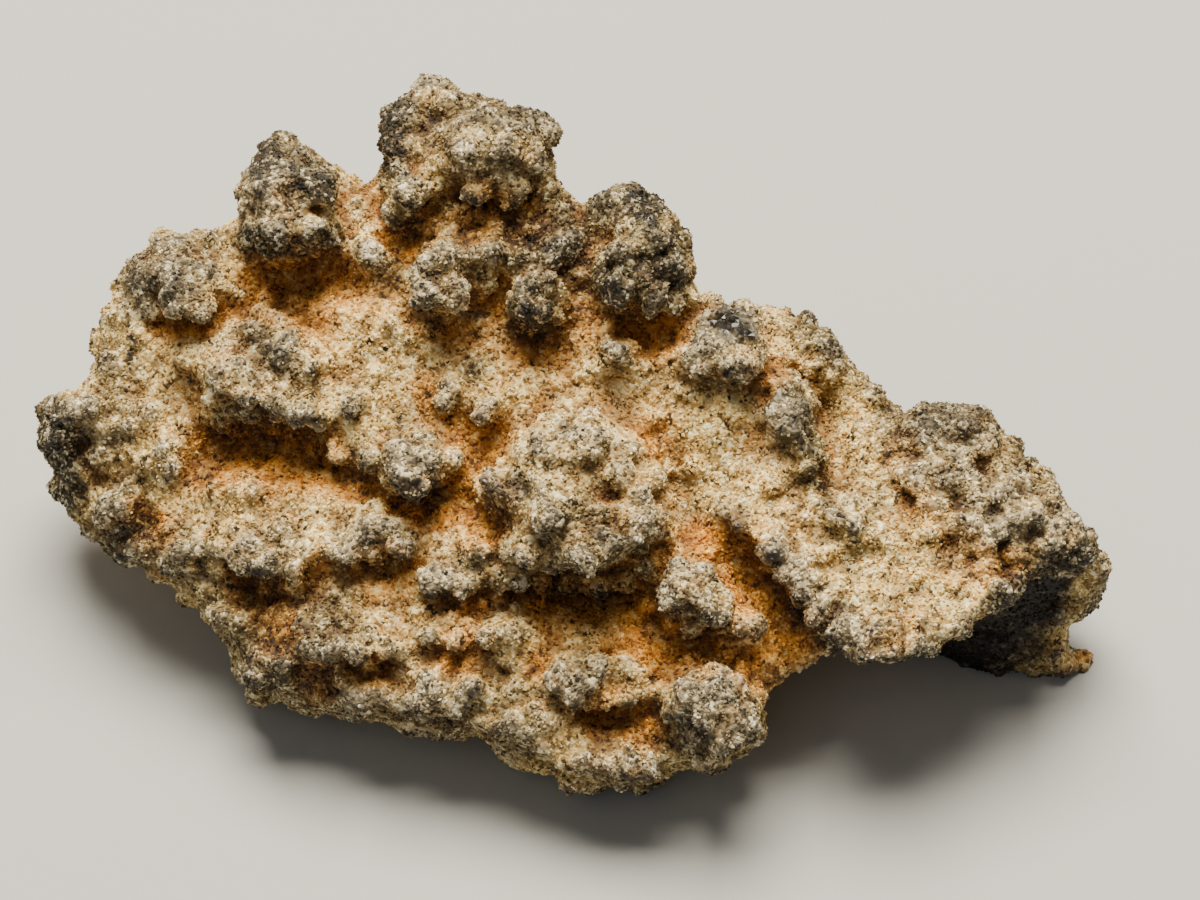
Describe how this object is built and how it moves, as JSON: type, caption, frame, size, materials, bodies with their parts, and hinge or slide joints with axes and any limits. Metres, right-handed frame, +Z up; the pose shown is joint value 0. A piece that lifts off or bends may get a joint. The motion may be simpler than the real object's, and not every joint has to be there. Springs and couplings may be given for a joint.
{
  "type": "fulgurite fragment",
  "caption": "Broken crust of lightning-fused sand, knobbly and pitted, with upright horns and a shelf-like lobe over an open channel.",
  "frame": {"origin": "bottom centre of the overall box, on the surface that the piece rests on", "axes": "+X along the piece, towards the lobe; +Y from the low front edge of the rough face to the horned back; +Z up"},
  "size_m": [0.0778, 0.0452, 0.0363],
  "materials": {
    "fused_sand": "matt, granular"
  },
  "bodies": {
    "root": {"fulgurite": "fused_sand"}
  },
  "joints": []
}
